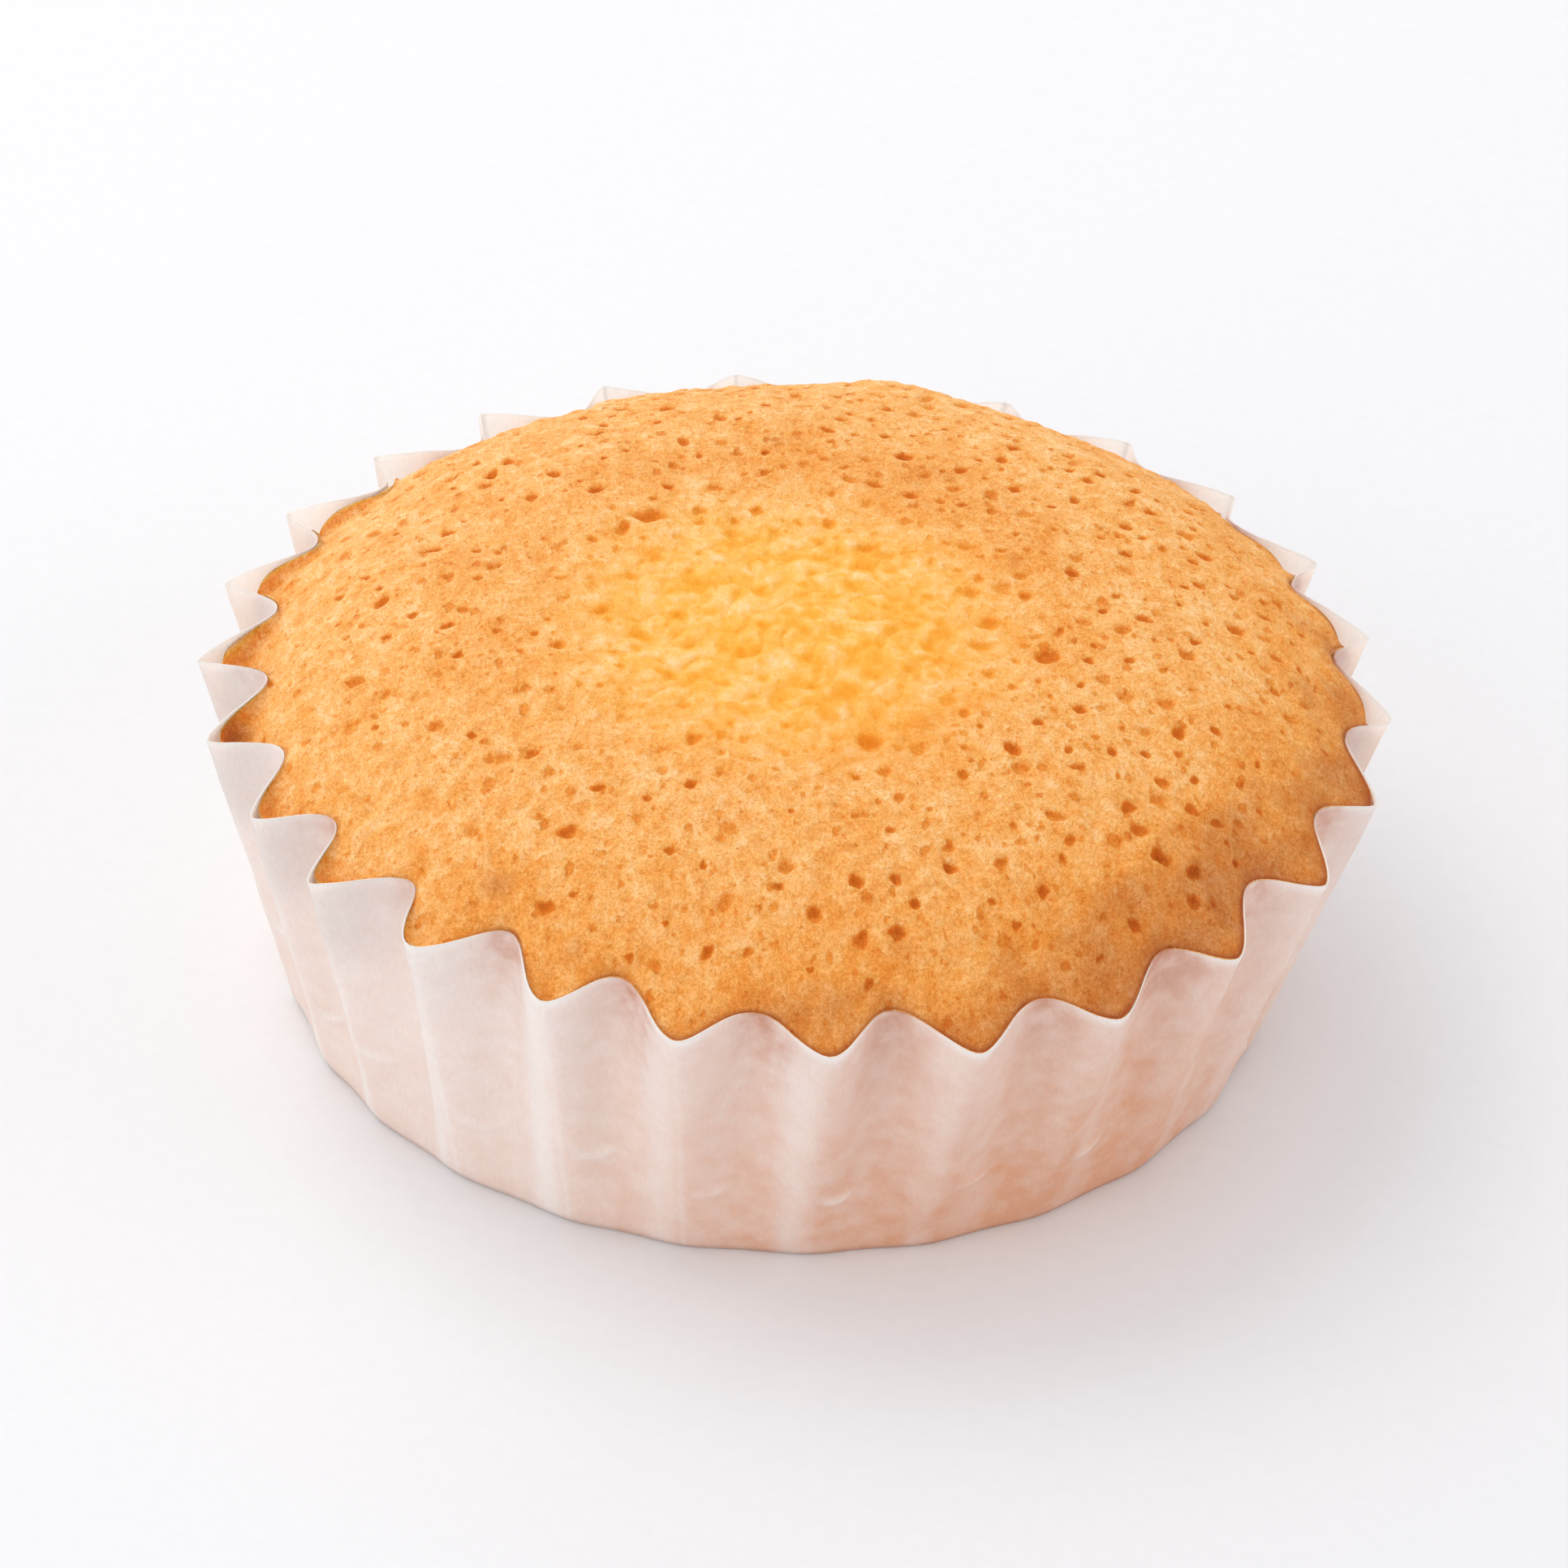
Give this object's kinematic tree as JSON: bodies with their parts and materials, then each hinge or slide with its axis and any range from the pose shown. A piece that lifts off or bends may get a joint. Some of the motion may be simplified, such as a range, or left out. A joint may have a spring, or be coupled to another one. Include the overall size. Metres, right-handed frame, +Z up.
{
  "type": "madeleine",
  "caption": "Round sponge madeleine with a domed, browned and finely pitted crust, standing in the white pleated paper case it was baked in.",
  "frame": {"origin": "middle of the paper case's flat round floor, on the surface it rests on", "axes": "+Z up through the dome; -Y toward the side that faces the viewer, where the crust fills the folds; +X to the viewer's right"},
  "size_m": [0.0732, 0.0726, 0.0273],
  "materials": {
    "crust": "browned sponge crust, matt, pitted with small burst bubbles",
    "paper": "thin white greaseproof paper, slightly translucent, with faint butter stains under the rim"
  },
  "bodies": {
    "root": {"cake": "crust", "paper_case": "paper"}
  },
  "joints": []
}
